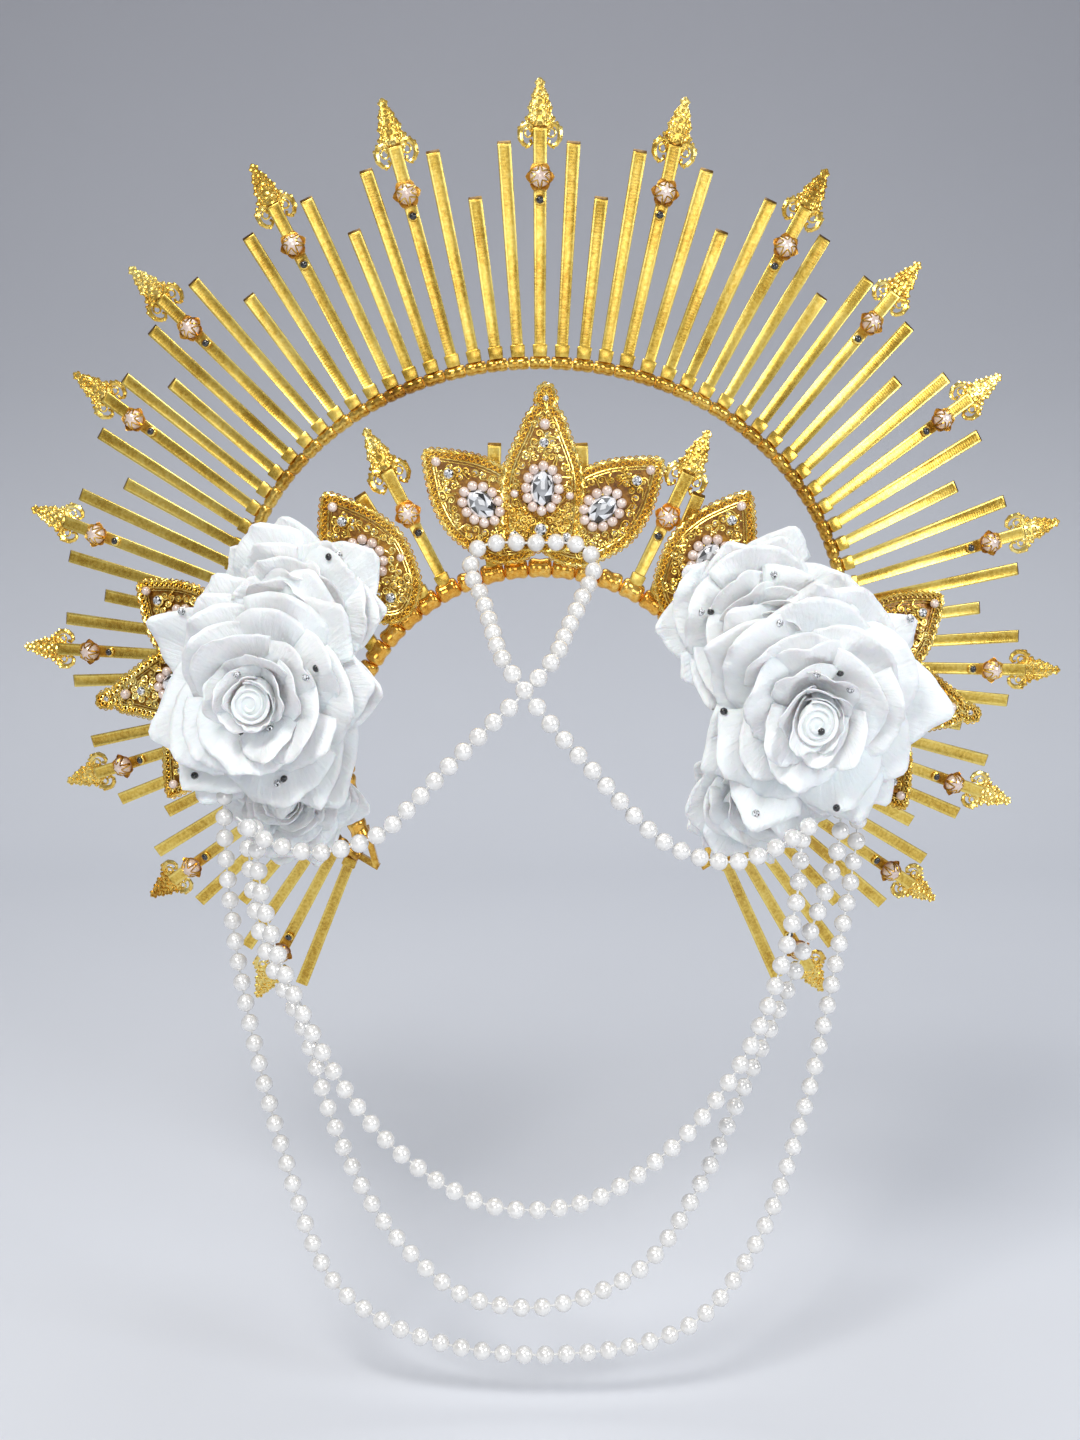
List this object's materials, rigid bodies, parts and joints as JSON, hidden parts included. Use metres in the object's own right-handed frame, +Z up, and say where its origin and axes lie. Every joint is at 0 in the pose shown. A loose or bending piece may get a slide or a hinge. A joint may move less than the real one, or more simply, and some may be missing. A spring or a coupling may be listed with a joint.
{
  "type": "halo crown",
  "caption": "Halo crown: gilt rays on a hoop over a looped headband, lace crown pieces, fabric roses and draped strings of pearls.",
  "frame": {"origin": "underside of the headband at the top of the head, in its mid plane", "axes": "+Z up, -Y towards the front of the wearer, +X to the right as seen from the front"},
  "size_m": [0.5246, 0.1731, 0.5621],
  "materials": {
    "halo_gold": "gilt, satin to gloss",
    "band_gold": "gilt, glossy, warmer",
    "lace_gold": "bright gilt filigree",
    "rose_fabric": "matt white",
    "pearl": "pearlescent",
    "stone": "clear, foil backed",
    "string": "white thread"
  },
  "bodies": {
    "root": {"halo_hoop": "halo_gold", "finial_ray_left_9": "halo_gold", "finial_ray_left_8": "halo_gold", "finial_ray_left_7": "halo_gold", "finial_ray_left_6": "halo_gold", "finial_ray_left_5": "halo_gold", "finial_ray_left_4": "halo_gold", "finial_ray_left_3": "halo_gold", "finial_ray_left_2": "halo_gold", "finial_ray_left_1": "halo_gold", "finial_ray_top": "halo_gold", "finial_ray_right_1": "halo_gold", "finial_ray_right_2": "halo_gold", "finial_ray_right_3": "halo_gold", "finial_ray_right_4": "halo_gold", "finial_ray_right_5": "halo_gold", "finial_ray_right_6": "halo_gold", "finial_ray_right_7": "halo_gold", "finial_ray_right_8": "halo_gold", "finial_ray_right_9": "halo_gold", "plain_rays_left_9": "halo_gold", "plain_rays_left_8": "halo_gold", "plain_rays_left_7": "halo_gold", "plain_rays_left_6": "halo_gold", "plain_rays_left_5": "halo_gold", "plain_rays_left_4": "halo_gold", "plain_rays_left_3": "halo_gold", "plain_rays_left_2": "halo_gold", "plain_rays_left_1": "halo_gold", "plain_rays_right_1": "halo_gold", "plain_rays_right_2": "halo_gold", "plain_rays_right_3": "halo_gold", "plain_rays_right_4": "halo_gold", "plain_rays_right_5": "halo_gold", "plain_rays_right_6": "halo_gold", "plain_rays_right_7": "halo_gold", "plain_rays_right_8": "halo_gold", "plain_rays_right_9": "halo_gold", "headband_core": "band_gold", "headband_loops_left": "band_gold", "headband_loops_top": "band_gold", "headband_loops_right": "band_gold", "centre_crown": "lace_gold", "leaf_crown_left": "lace_gold", "leaf_crown_right": "lace_gold", "side_crown_left": "lace_gold", "side_crown_right": "lace_gold", "rose_left_front": "rose_fabric", "rose_left_back": "rose_fabric", "rose_left_low": "rose_fabric", "rose_right_front": "rose_fabric", "rose_right_back": "rose_fabric", "rose_right_low": "rose_fabric", "forehead_festoon": "pearl", "strand_short": "pearl", "strand_middle": "pearl", "strand_long": "pearl"}
  },
  "joints": []
}
